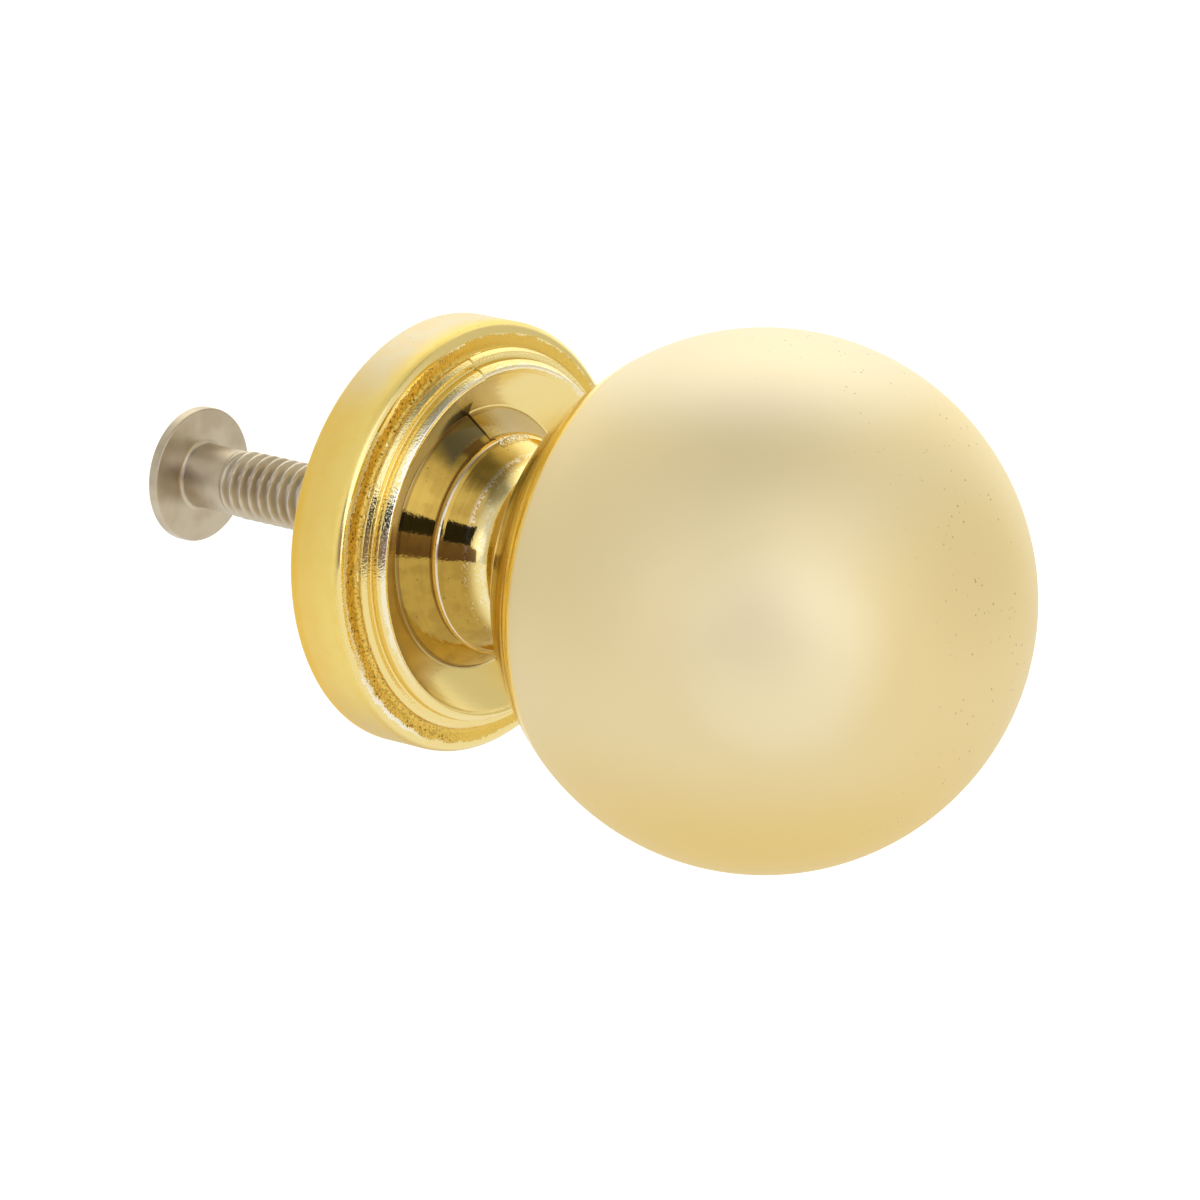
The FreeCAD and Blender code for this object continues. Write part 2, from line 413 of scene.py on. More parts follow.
def lathe_tree():
    inputs = {"Half Columns": "Int", "Parting Angle": "Float", "Parting Gap": "Float"}
    inputs.update({"Mould Shift": "Float", "Shift From Row": "Int", "Shift Below": "Float"})
    inputs["Material"] = "Material"
    graph, given = geometry_tree("Lathe", inputs)
    half = given["Half Columns"]
    rows = graph.node("GeometryNodeAttributeDomainSize", None, {0: given["Geometry"]})
    columns = half * 2.0 + 1.0
    grid = graph.node("GeometryNodeMeshGrid", None, {"Vertices X": rows, "Vertices Y": columns})
    index = graph.node("GeometryNodeInputIndex")
    row = (index / columns + 0.5 / columns).function("FLOOR")
    column = index - row * columns
    run = (column / half + 0.5 / half).function("FLOOR")
    place = column - run * half
    gap = given["Parting Gap"]
    angle = given["Parting Angle"] + run * math.pi + gap / 2.0 + place * (math.pi - gap) / (half - 1.0)
    section = graph.node(
        "GeometryNodeSampleIndex",
        {"data_type": "FLOAT_VECTOR"},
        {"Geometry": given["Geometry"], "Value": graph.node("GeometryNodeInputPosition"), "Index": row},
    )
    radius, height, _ = graph.split(section)
    first_run = run.function("COMPARE", 0.0) + run.function("COMPARE", 2.0)
    outside = row.function("GREATER_THAN", given["Shift From Row"])
    below = height.falling(given["Shift Below"] - SHIFT_FADE * MM, given["Shift Below"])
    shift = given["Mould Shift"] * first_run * outside * below
    across = radius * angle.function("SINE") + shift * given["Parting Angle"].function("SINE")
    up = radius * angle.function("COSINE") + shift * given["Parting Angle"].function("COSINE")
    turned = graph.node(
        "GeometryNodeSetPosition",
        None,
        {"Geometry": grid, "Position": graph.combine(across, 0.0 - height, up)},
    )
    at_parting = place.function("COMPARE", 0.0) + (place - half + 1.0).function("COMPARE", 0.0)
    marked = graph.node(
        "GeometryNodeStoreNamedAttribute",
        {"data_type": "FLOAT", "domain": "POINT"},
        {"Geometry": turned, "Name": "parting", "Value": at_parting},
    )
    values = {"Geometry": marked, "Distance": MERGE_DISTANCE}
    closed = graph.node("GeometryNodeMergeByDistance", None, values)
    smooth = graph.node("GeometryNodeSetShadeSmooth", {"domain": "FACE"}, {0: closed})
    flagged = graph.node("GeometryNodeInputNamedAttribute", {"data_type": "FLOAT"}, {"Name": "parting"})
    crisp = graph.node(
        "GeometryNodeSetShadeSmooth",
        {"domain": "EDGE"},
        {0: smooth, "Selection": flagged.function("GREATER_THAN", 0.99), "Shade Smooth": False},
    )
    return finish_tree(graph, crisp, given["Material"])


lathe = lathe_tree()
print("the lathe has", len(lathe.nodes), "nodes")

# %% [markdown]
# ## From section to plain mesh
# The section becomes a bare chain of edges, a modifier runs the tree on it, and the evaluated result is
# taken as a plain mesh, because the part is handed on as meshes and not as live modifiers. A modifier's
# input is reached by its socket's identifier. The result is then measured against the engineering model.

# %% Helpers that run a tree and measure the result


def section_object(name, section):
    corners = [(radius * MM, height * MM, 0) for radius, height in section.points]
    chain = bpy.data.meshes.new(name)
    chain.from_pydata(corners, [(i, i + 1) for i in range(len(corners) - 1)], [])
    piece = bpy.data.objects.new(name, chain)
    bpy.context.scene.collection.objects.link(piece)
    return piece


def run_tree(piece, tree, values):
    """Applies a Geometry Nodes tree to a piece and leaves a plain mesh."""
    modifier = piece.modifiers.new(tree.name, "NODES")
    modifier.node_group = tree
    for item in tree.interface.items_tree:
        if item.in_out == "INPUT" and item.name in values:
            modifier[item.identifier] = values[item.name]
    make_plain(piece)


def make_plain(piece):
    """Swaps a piece's mesh for what its modifiers make of it."""
    bpy.context.view_layer.update()
    evaluated = piece.evaluated_get(bpy.context.evaluated_depsgraph_get())
    before = piece.data
    piece.data = bpy.data.meshes.new_from_object(evaluated)
    piece.modifiers.clear()
    piece.data.name = piece.name
    bpy.data.meshes.remove(before)


def describe(piece, node):
    """Prints a piece's size in faces, whether it is closed, and how far it lies from its CAD node."""
    shape = bmesh.new()
    shape.from_mesh(piece.data)
    open_edges = sum(1 for edge in shape.edges if not edge.is_manifold)
    volume = shape.calc_volume(signed=True) / MM**3
    triangles = sum(len(face.verts) - 2 for face in shape.faces)
    shape.free()
    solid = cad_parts[node].data
    tree = BVHTree.FromPolygons([v.co for v in solid.vertices], [p.vertices for p in solid.polygons])
    farthest = max(tree.find_nearest(v.co)[3] for v in piece.data.vertices) / MM
    print(piece.name, triangles, "triangles,", open_edges, "open edges,", round(volume, 1), "mm3")
    print("  at most", round(farthest, 3), "mm from", node)


# %% Turn the casting
HALF_COLUMNS = 160
PARTING_ANGLE = math.radians(-8.7)
PARTING_GAP = 0.0024
MOULD_SHIFT = 0.1 * MM
SHIFT_END = RING_HEIGHT + 0.4

plating = bpy.data.materials.new("gold_plating")
knob = section_object("knob_casting", casting_section)
lathe_values = {
    "Half Columns": HALF_COLUMNS,
    "Parting Angle": PARTING_ANGLE,
    "Parting Gap": PARTING_GAP,
    "Mould Shift": MOULD_SHIFT,
    "Shift From Row": PLAIN_ROWS,
    "Shift Below": SHIFT_END * MM,
    "Material": plating,
}
run_tree(knob, lathe, lathe_values)
describe(knob, "knob")

# %% [markdown]
# ## The screw
# The knob hangs on a common machine screw with a low domed head. Its blank is turned on the same lathe.
# The thread is a second rule: going round once moves a groove along by one pitch. So the depth of the
# cut at any vertex follows from its place along the axis and its angle, and the tree only draws vertices
# inwards. The cross recess in the head is cut with a boolean, as a punch would press it.

# %% Turn the screw's blank
DOOR_THICKNESS = 19.0
PLAIN_SHANK_RADIUS = 1.975
PLAIN_SHANK_LENGTH = 3.0
THREAD_PITCH = 0.794
THREAD_DEPTH = 0.44
TIP_CHAMFER = 0.5
UNDER_HEAD_FILLET = 0.25
HEAD_RADIUS = 4.15
HEAD_EDGE_HEIGHT = 0.65
HEAD_EDGE_ROUND = 0.1
SCREW_COLUMNS = 40
HEAD_SPACING = 0.12
ROWS_PER_TURN = 14
SCREW_TIP = -screw_low.y / MM
HEAD_CROWN = -screw_high.y / MM


def screw_section():
    section = Section(0, HEAD_CROWN, HEAD_SPACING)
    edge_top = -DOOR_THICKNESS - HEAD_EDGE_HEIGHT
    rise = edge_top - HEAD_CROWN
    section.arc((0, HEAD_CROWN + (HEAD_RADIUS**2 + rise**2) / (2 * rise)), (HEAD_RADIUS, edge_top))
    section.line(HEAD_RADIUS, -DOOR_THICKNESS - HEAD_EDGE_ROUND)
    rounded = (HEAD_RADIUS - HEAD_EDGE_ROUND, -DOOR_THICKNESS)
    section.quarter(rounded, (HEAD_RADIUS, -DOOR_THICKNESS))
    section.line(PLAIN_SHANK_RADIUS + UNDER_HEAD_FILLET, -DOOR_THICKNESS)
    fillet_end = (PLAIN_SHANK_RADIUS, -DOOR_THICKNESS + UNDER_HEAD_FILLET)
    section.quarter(fillet_end, (PLAIN_SHANK_RADIUS, -DOOR_THICKNESS))
    plain_end = -DOOR_THICKNESS + PLAIN_SHANK_LENGTH
    section.line(PLAIN_SHANK_RADIUS, plain_end)
    fine = THREAD_PITCH / ROWS_PER_TURN
    section.line(SCREW_RADIUS, plain_end + THREAD_PITCH, fine)
    section.line(SCREW_RADIUS, SCREW_TIP - TIP_CHAMFER, fine)
    section.line(SCREW_RADIUS - TIP_CHAMFER, SCREW_TIP, fine)
    section.line(0, SCREW_TIP)
    return section


nickel = bpy.data.materials.new("nickel_plating")
screw = section_object("machine_screw", screw_section())
column_turn = math.pi / SCREW_COLUMNS
blank_values = {"Half Columns": SCREW_COLUMNS, "Parting Gap": column_turn, "Material": nickel}
run_tree(screw, lathe, blank_values)
describe(screw, "mounting_screw")

# %% Cut the thread
ROOT_SHARE = 0.1  # the thread's flat root and where its flank ends, as shares of half a pitch
FLANK_SHARE = 0.85
NEARLY_NOTHING = 1e-6


def thread_tree():
    inputs = {"Pitch": "Float", "Depth": "Float", "Start": "Float", "End": "Float"}
    inputs["Material"] = "Material"
    graph, given = geometry_tree("Screw thread", inputs)
    x, y, z = graph.split(graph.node("GeometryNodeInputPosition"))
    pitch = given["Pitch"]
    turns = y / pitch - x.function("ARCTAN2", z) / (2 * math.pi)
    from_root = (turns.function("FRACT") - 0.5).function("ABSOLUTE") * 2.0
    cut = from_root.falling(ROOT_SHARE, FLANK_SHARE)
    threaded = y.between(given["Start"], given["End"], pitch)
    radius = (x * x + z * z).function("SQRT").function("MAXIMUM", NEARLY_NOTHING)
    share = 1.0 - given["Depth"] * cut * threaded / radius
    values = {"Geometry": given["Geometry"], "Position": graph.combine(x * share, y, z * share)}
    return finish_tree(graph, graph.node("GeometryNodeSetPosition", None, values), given["Material"])


thread_values = {
    "Pitch": THREAD_PITCH * MM,
    "Depth": THREAD_DEPTH * MM,
    "Start": -SCREW_TIP * MM,
    "End": (DOOR_THICKNESS - PLAIN_SHANK_LENGTH - THREAD_PITCH) * MM,
    "Material": nickel,
}
run_tree(screw, thread_tree(), thread_values)
print("a thread of pitch", THREAD_PITCH, "mm runs to", thread_values["End"], "m")

# %% Press the cross recess
CROSS_SPAN = 4.3
CROSS_WING = 1.0
CROSS_DEPTH = 1.5
CROSS_FLOOR_SPAN = 2.0
CROSS_FLOOR_WING = 0.6
PUNCH_OVERRUN = 0.5
CRISP_ANGLE = math.radians(40)  # edges of the screw that turn by more than this stay crisp


def cross_outline(span, wing, place):
    """Twelve corners of a plus sign across the axis."""
    s, w = span / 2, wing / 2
    corner = [(s, -w), (s, w), (w, w), (w, s), (-w, s), (-w, w), (-s, w), (-s, -w), (-w, -w), (-w, -s)]
    corner += [(w, -s), (w, -w)]
    return [Vector((a, place, b)) * MM for a, b in corner]


def punch():
    """A tapered plus-shaped tool, carried on past the crown so that it cuts cleanly."""
    crown = -HEAD_CROWN
    grow = PUNCH_OVERRUN / CROSS_DEPTH
    top_span = CROSS_SPAN + (CROSS_SPAN - CROSS_FLOOR_SPAN) * grow
    top_wing = CROSS_WING + (CROSS_WING - CROSS_FLOOR_WING) * grow
    low = cross_outline(CROSS_FLOOR_SPAN, CROSS_FLOOR_WING, crown - CROSS_DEPTH)
    high = cross_outline(top_span, top_wing, crown + PUNCH_OVERRUN)
    sides = [(i, (i + 1) % 12, 12 + (i + 1) % 12, 12 + i) for i in range(12)]
    mesh = bpy.data.meshes.new("punch")
    mesh.from_pydata(low + high, [], sides + [tuple(range(12)), tuple(range(23, 11, -1))])
    shape = bmesh.new()
    shape.from_mesh(mesh)
    bmesh.ops.recalc_face_normals(shape, faces=shape.faces)
    shape.to_mesh(mesh)
    shape.free()
    tool = bpy.data.objects.new("punch", mesh)
    bpy.context.scene.collection.objects.link(tool)
    return tool


tool = punch()
cut = screw.modifiers.new("cross", "BOOLEAN")
cut.operation = "DIFFERENCE"
cut.solver = "EXACT"
cut.object = tool
make_plain(screw)
bpy.data.objects.remove(tool)
screw.data.set_sharp_from_angle(angle=CRISP_ANGLE)
describe(screw, "mounting_screw")

# %% [markdown]
# ## The gold plating
# The plating is a metal, so its colour sits in Base Color and nearly everything else is reflection. How
# sharp that reflection is changes over the casting. The ball's face and the rosette's side were blasted
# and lacquered and look satin, so they also scatter light like paint. The hollows between them kept
# their polish and the tool's fine rings, and the cove still has the mould's grit. Masks from Object
# coordinates, as height and radius in millimetres, say which is which.

# %% Plating colours
# Several of these paint light and shade into the plating: the lighter and darker golds of the side, the
# face and the neck, the olive, the brown of the crease and under the ring, and the whites of the crests
# and the lip.
DISH_GOLD = (0.89, 0.72, 0.31, 1)
NECK_GOLD = (0.48, 0.31, 0.06, 1)
NECK_BROWN = (0.36, 0.22, 0.04, 1)
STREAK_GOLD = (1.0, 0.70, 0.07, 1)
STREAK_BROWN = (0.58, 0.35, 0.02, 1)
SIDE_GOLD = (0.95, 0.68, 0.17, 1)
EDGE_GOLD = (0.93, 0.60, 0.08, 1)
SIDE_TOP_GOLD = (0.84, 0.73, 0.50, 1)
SIDE_BRIGHT_GOLD = (1.0, 0.79, 0.23, 1)
SIDE_LOW_GOLD = (0.76, 0.55, 0.17, 1)
LOW_GOLD = (0.88, 0.65, 0.22, 1)
FACE_GOLD = (0.90, 0.75, 0.43, 1)
END_GOLD = (0.90, 0.72, 0.36, 1)
TOP_GOLD = (0.92, 0.81, 0.58, 1)
HIGHLIGHT_GOLD = (1.0, 0.87, 0.57, 1)
HIGHLIGHT_AND_SCUFF_WHITE = (0.97, 0.92, 0.78, 1)
COVE_GOLD = (0.86, 0.60, 0.13, 1)
GRIT_BROWN = (0.27, 0.15, 0.03, 1)
PIT_AND_SHADE_BROWN = (0.16, 0.08, 0.02, 1)
REFLECTION_OLIVE = (0.18, 0.14, 0.06, 1)
print("the neck's gold is", NECK_GOLD[:3])

# %% Surface point and patterns
TURNED_STRETCH = 0.04  # the share of its way round the axis that a turning mark's noise sees


def material_graph(material):
    """Empties a material's tree and starts it with the surface point in millimetres."""
    material.use_nodes = True
    material.node_tree.nodes.clear()
    graph = Graph(material.node_tree)
    place = graph.node("ShaderNodeTexCoord", None, None, 3)
    return graph, graph.vector("MULTIPLY", place, (1 / MM, 1 / MM, 1 / MM))


def noise(graph, point, per_mm, detail=2.0):
    """Noise from 0 to 1 with its grain given per millimetre."""
    return graph.node("ShaderNodeTexNoise", None, {"Vector": point, "Scale": per_mm, "Detail": detail})


def pits(graph, point, per_mm, size, seed):
    """1 in small round pits, one in about three cells of a random pattern."""
    moved = graph.vector("ADD", point, (seed, seed, seed))
    values = {"Vector": moved, "Scale": per_mm}
    distance = graph.node("ShaderNodeTexVoronoi", None, values)
    colour = Wire(graph, distance.socket.node.outputs[1])
    chosen = graph.split(colour)[0].rising(0.6, 0.8)
    return distance.falling(size * 0.5, size) * chosen


class Spot:
    """The surface point on a turned piece, in millimetres and in degrees from the top."""

    def __init__(self, graph, point):
        self.graph = graph
        self.point = point
        self.x, self.y, self.z = graph.split(point)
        self.height = 0.0 - self.y
        self.radius = (self.x * self.x + self.z * self.z).function("SQRT")
        self.angle = self.x.function("ARCTAN2", self.z) * (180 / math.pi)

    def textures(self):
        """The plating's noises: three that spread evenly, and two drawn out round the axis."""
        turned = self.graph.combine(self.radius, self.y, (self.x + self.z) * TURNED_STRETCH)
        return {
            "grain": noise(self.graph, self.point, 7.0),
            "cloud": noise(self.graph, self.point, 0.9, 3.0),
            "waves": noise(self.graph, self.point, 0.6, 1.0),
            "rings": noise(self.graph, turned, 4.0),
            "coarse rings": noise(self.graph, turned, 2.2, 3.0),
        }


print("turning marks are drawn out", round(1 / TURNED_STRETCH), "times round the axis")

# %% Where each finish is
DISH_OUTER = 10.3
MOULDING_TOP = 5.6
STREAKS_START = 12.6
SATIN_START = 17.5
SATIN_FADE = 0.6
MOULD_LINE = math.degrees(PARTING_ANGLE)


def ball_masks(spot):
    """The blasted face of the ball, and its turned back, whose streaks are turning marks and also
    painted streaky reflection.
    """
    return {
        "ball": spot.height.rising(SATIN_START, SATIN_START + SATIN_FADE),
        "edge": spot.height.between(STREAKS_START, SATIN_START + SATIN_FADE / 2, SATIN_FADE / 2),
    }


def rosette_masks(spot, uneven):
    """The rosette's finishes; uneven is the radius with some raggedness in it."""
    x, z, height, radius = spot.x, spot.z, spot.height, spot.radius
    front = height.between(RIM_HEIGHT - 0.4, COVE_TOP + 0.02, 0.06)
    stepped = height.between(COVE_TOP, MOULDING_TOP, 0.1)
    crest = uneven.between(BEAD_CREST - 0.12, BEAD_CREST + 0.08, 0.08)
    left_and_up = x.falling(-3.5, -1.5) * z.rising(1.0, 4.0)
    return {
        "side": radius.rising(ROSETTE_RADIUS - 0.45, ROSETTE_RADIUS - 0.15) * height.falling(3.5, 3.8),
        "cove": uneven.between(COVE_INNER + 0.02, COVE_OUTER + 0.12, 0.05) * front,
        "grit": x.falling(-5.0, -1.0),
        # the lip's near left, where a painted highlight goes
        "lip": uneven.between(COVE_OUTER + 0.2, COVE_OUTER + 0.36, 0.08) * front * x.falling(-8.0, -5.0),
        # the bead's crest except low down, where a painted highlight goes
        "bead": crest * height.between(5.2, MOULDING_TOP, 0.1) * z.rising(-9.0, -3.0),
        "moulding": radius.between(DISH_OUTER, COVE_INNER, 0.1) * stepped,
        "dish": radius.between(FOOT_RADIUS + 0.05, DISH_OUTER, 0.1) * height.falling(5.3, 5.5),
        "scuffed": radius.between(8.0, 10.2, 0.2) * height.between(DISH_FLOOR, 5.2, 0.2) * left_and_up,
    }


def neck_masks(spot, uneven, ragged):
    """The neck's zones, its fine ring, and marks beside them: painted shade in the crease and under the
    ring, a painted dark reflection at the foot, painted highlights along the ring's upper edge by the
    mould's parting, and a dark drip.
    """
    height, radius, angle = spot.height, spot.radius, spot.angle
    near = spot.x.falling(-1.5, 1.5)
    neck = radius.falling(FOOT_RADIUS - 0.1, FOOT_RADIUS + 0.1) * height.falling(7.2, 8.0)
    below_ring = height.between(RING_HEIGHT - 0.42, RING_HEIGHT - 0.34, 0.06)
    left_of_line = angle.falling(MOULD_LINE + 0.4, MOULD_LINE + 0.9)
    slanting = (angle - radius * 7.0).rising(-90.0, -80.0)
    foot = uneven.between(6.9, 8.6, 0.4) * height.between(3.6, 4.8, 0.4)
    drip = height.between(4.95, 5.2, 0.15) * radius.falling(6.8, 7.0)
    beaded_highlight = (height + ragged).between(5.95, 6.15, 0.1)
    return {
        # the neck's side towards the camera, painted dark, and its far side, painted pale
        "neck": neck * height.rising(3.5, 3.9) * near,
        "far neck": neck * height.between(3.8, 5.2, 0.1) * (1.0 - near),
        "waist": height.between(7.3, 8.2, 0.3) * radius.falling(6.5, 7.0),
        "ring": radius.falling(7.5, 8.0) * height.between(RING_HEIGHT - 0.26, RING_HEIGHT + 0.2, 0.06),
        "under ring": radius.falling(7.0, 7.2) * below_ring,
        "crease": radius.between(7.72, 7.9, 0.06) * height.between(3.68, 3.9, 0.05) * near,
        "dark_reflection": left_of_line * slanting * foot,
        "drip": angle.between(-25.0, -15.0, 4.0) * drip,
        "beaded_highlight": angle.between(MOULD_LINE, MOULD_LINE + 22, 1.0) * beaded_highlight,
    }


def plating_masks(spot, made):
    """Every mask as a wire from 0 to 1; some edges are ragged by a noise in millimetres."""
    ragged = (made["grain"] + made["cloud"] - 1.0) * 0.5
    uneven = spot.radius + ragged
    masks = {**ball_masks(spot), **rosette_masks(spot, uneven), **neck_masks(spot, uneven, ragged)}
    masks["satin"] = masks["ball"].function("MAXIMUM", masks["side"])
    masks["polish"] = 1.0 - masks["satin"]
    return masks


print("the ball is satin from", SATIN_START, "mm up")

# %% Plating colour
PAINTED_HIGHLIGHT_TOWARDS = (-0.737, -0.672, 0.077)  # from the ball's centre to the painted highlight on its face, where it is palest


def polished_gold(graph, on, made):
    """The dish, the neck and the ball's turned back, which kept their polish."""
    blotches = made["cloud"].rising(0.42, 0.62) * 0.6 + made["rings"].rising(0.5, 0.7) * 0.2
    # painted light: the far side of the neck, shaded by its own dish, is painted pale
    gold = graph.mix(on["far neck"], DISH_GOLD, SIDE_TOP_GOLD)
    # painted shade: the neck's side towards the camera is painted dark brown, with random blotches
    gold = graph.mix(on["neck"], gold, graph.mix(blotches, NECK_GOLD, NECK_BROWN))
    # the ball's back near the neck: bright gold streaks round the axis, turning marks and also painted
    # streaky reflection, between brown rings
    streaks = graph.mix(made["coarse rings"].rising(0.52, 0.6) * 0.8, STREAK_GOLD, STREAK_BROWN)
    streaks = graph.mix(made["rings"].rising(0.54, 0.6) * 0.6, streaks, NECK_BROWN)
    return graph.mix(on["edge"], gold, streaks)


def side_gold(graph, spot, cloud):
    """The rosette's side, with painted light and shade: brightest towards the front, deep at its back
    edge and below, pale on top.
    """
    # painted light and shade: brighter towards the front, deeper below, and a painted highlight pale on
    # top
    gold = graph.mix(spot.height.rising(1.2, 3.0) * 0.7, SIDE_GOLD, SIDE_BRIGHT_GOLD)
    gold = graph.mix(spot.z.falling(-12.0, -6.0), gold, SIDE_LOW_GOLD)
    gold = graph.mix(spot.z.rising(8.5, 12.5) * spot.height.falling(2.0, 3.6), gold, SIDE_TOP_GOLD)
    # painted shade at the back edge low down, and a random cloud of the same deeper gold
    back_edge = spot.height.falling(0.4, 1.0) * spot.z.falling(4.0, 8.0) * 0.7
    return graph.mix(back_edge + cloud.rising(0.45, 0.6) * 0.15, gold, EDGE_GOLD)


def face_gold(graph, spot):
    """The ball's face: paler on top as painted light, with a painted highlight on its front, deeper
    below as painted shade, and deeper at its end.
    """
    gold = graph.mix(spot.height.rising(37.0, 40.5), FACE_GOLD, END_GOLD)
    # painted shade: deeper gold below; painted light: paler gold on top
    gold = graph.mix(spot.z.rising(-13.0, -3.0), LOW_GOLD, gold)
    gold = graph.mix(spot.z.rising(11.3, 14.5), gold, TOP_GOLD)
    # a painted highlight: a soft pale patch on the face's front
    from_centre = graph.vector("SUBTRACT", spot.point, (0, -BALL_HEIGHT, 0))
    highlight_and_wear = (graph.dot(from_centre, PAINTED_HIGHLIGHT_TOWARDS) / BALL_RADIUS).rising(0.9, 1.0)
    return graph.mix(highlight_and_wear * 0.7, gold, HIGHLIGHT_GOLD)


def with_marks(graph, spot, on, made, gold):
    """Adds a painted dark reflection at the foot, painted shade in the crease and under the ring, a dark
    drip, painted highlights on the ring, the bead, the ring's edge and the rim's lip, the waist's
    scuffs, the cove's grit and the specks.
    """
    # painted reflection: a dark olive patch at the neck's foot, up and to the left
    gold = graph.mix(on["dark_reflection"], gold, REFLECTION_OLIVE)
    # painted shade: dark brown in the crease at the neck's foot and under the ring; the drip is a dark
    # mark
    gold = graph.mix(on["crease"] * 0.6 + on["under ring"] * 0.7 + on["drip"] * 0.9, gold, PIT_AND_SHADE_BROWN)
    scuffs = on["waist"] * (made["grain"] + made["coarse rings"]).rising(1.04, 1.16) * 0.45
    # painted highlights: white on the crests of the ring and the bead and in flecks along the ring's
    # upper edge; the waist's scuffs are real wear
    highlight_and_wear = (on["ring"] + on["bead"]) * 0.7 + on["beaded_highlight"] * made["grain"].rising(0.5, 0.6) + scuffs
    gold = graph.mix(highlight_and_wear, gold, HIGHLIGHT_AND_SCUFF_WHITE)
    holes = pits(graph, spot.point, 4.5, 0.45, 7.0) + made["grain"].falling(0.38, 0.52) * 0.5
    gold = graph.mix(on["cove"], gold, graph.mix(holes * on["grit"], COVE_GOLD, GRIT_BROWN))
    # painted highlight: a white line along the rim's front edge on its near left
    gold = graph.mix(on["lip"], gold, HIGHLIGHT_AND_SCUFF_WHITE)
    speckled = on["satin"] * spot.x.rising(-7.0, 3.0) + on["neck"]
    specks = pits(graph, spot.point, 2.3, 0.2, 3.0) * made["waves"].rising(0.36, 0.52) * speckled
    return graph.mix(specks * 0.6, gold, PIT_AND_SHADE_BROWN)


print("the lacquer is worn palest towards", PAINTED_HIGHLIGHT_TOWARDS)

# %% Plating material
SMOOTHEST = 0.06
ROUGHER = {"satin": 0.4, "cove": 0.35, "far neck": 0.3, "lip": 0.25, "ring": 0.15, "dish": 0.13}
ROUGHER["edge"] = 0.1
MATT = {"satin": 0.55, "far neck": 0.6, "edge": 0.15, "scuffed": 0.8}
GRAIN_DEPTH = {"cove": 0.05, "beaded_highlight": 0.05, "moulding": 0.016, "satin": 0.0015, "polish": 0.003}
RING_DEPTH = 0.006
WAVE_DEPTH = 0.012


def weighted(on, weights, start=0.0):
    """The masks named in weights, each times its weight, added to start."""
    return sum((on[name] * weight for name, weight in weights.items()), start)


def plating_material(material):
    graph, point = material_graph(material)
    spot = Spot(graph, point)
    made = spot.textures()
    on = plating_masks(spot, made)
    gold = graph.mix(on["side"], polished_gold(graph, on, made), side_gold(graph, spot, made["cloud"]))
    gold = graph.mix(on["ball"], gold, face_gold(graph, spot))
    rough = weighted(on, ROUGHER, SMOOTHEST) + (made["grain"] - 0.5) * on["satin"] * 0.06
    relief = made["rings"] * on["polish"] * RING_DEPTH + made["waves"] * WAVE_DEPTH
    relief = relief + made["grain"] * weighted(on, GRAIN_DEPTH)
    bumped = graph.node("ShaderNodeBump", None, {"Strength": 1.0, "Distance": MM, "Height": relief})
    values = {"Base Color": with_marks(graph, spot, on, made, gold), "Normal": bumped}
    values.update({"Metallic": 1.0 - weighted(on, MATT), "Roughness": rough})
    shader = graph.node("ShaderNodeBsdfPrincipled", None, values)
    graph.node("ShaderNodeOutputMaterial", None, {0: shader})


plating_material(plating)
print("plating has", len(plating.node_tree.nodes), "nodes")

# %% [markdown]
# ## The screw's nickel
# The screw is plain nickel plating on rolled steel: a dull, slightly warm grey.

# %% Nickel material
WARM_NICKEL = (0.62, 0.55, 0.44, 1)
DULL_NICKEL = (0.52, 0.44, 0.34, 1)


def nickel_material(material):
    graph, point = material_graph(material)
    cloud = noise(graph, point, 0.5, 2.0)
    grain = noise(graph, point, 9.0, 2.0)
    colour = graph.mix(cloud.rising(0.35, 0.65), WARM_NICKEL, DULL_NICKEL)
    roughness = 0.36 + (grain - 0.5) * 0.1
    relief = {"Strength": 1.0, "Distance": MM, "Height": grain * 0.004}
    bumped = graph.node("ShaderNodeBump", None, relief)
    values = {"Base Color": colour, "Metallic": 1.0, "Roughness": roughness, "Normal": bumped}
    shader = graph.node("ShaderNodeBsdfPrincipled", None, values)
    graph.node("ShaderNodeOutputMaterial", None, {0: shader})


nickel_material(nickel)
print("nickel has", len(nickel.node_tree.nodes), "nodes")

# %% [markdown]
# ## Each piece takes its solid's place
# Both pieces ride on the one body and take the place of the engineering model's solids.

# %% Ride and replace
for piece, node, slot in ((knob, "knob", "plated_casting"), (screw, "mounting_screw", "screw_steel")):
    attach(piece, "root")
    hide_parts(node)

# %% [markdown]
# ## The camera
# The photograph was taken with a long lens from the ball's left and a little above. A camera's direction
# is given as in a turntable: azimuth round the upright axis, and elevation above the horizon.

# %% Camera
VIEW_AZIMUTH = math.radians(-49.9)
VIEW_ELEVATION = math.radians(15.8)
LENS = 233.0
SENSOR_WIDTH = 36.0
BALL_IN_VIEW = Vector((9.5, -0.07, -450.0)) * MM


def direction(azimuth, elevation):
    """The unit vector that points that way from the knob."""
    flat = math.cos(elevation)
    return Vector((math.sin(azimuth) * flat, -math.cos(azimuth) * flat, math.sin(elevation)))


towards_camera = direction(VIEW_AZIMUTH, VIEW_ELEVATION)
camera_data = bpy.data.cameras.new("camera")
camera_data.lens = LENS
camera_data.sensor_width = SENSOR_WIDTH
camera = bpy.data.objects.new("camera", camera_data)
bpy.context.scene.collection.objects.link(camera)
camera.rotation_mode = "QUATERNION"
camera.rotation_quaternion = towards_camera.to_track_quat("Z", "Y")
ball_centre = Vector((0, -BALL_HEIGHT * MM, 0))
camera.location = ball_centre - camera.rotation_quaternion @ BALL_IN_VIEW
camera_data.clip_start = 0.01
camera_data.clip_end = 20
bpy.context.scene.camera = camera
print("camera at", [round(c, 3) for c in camera.location])

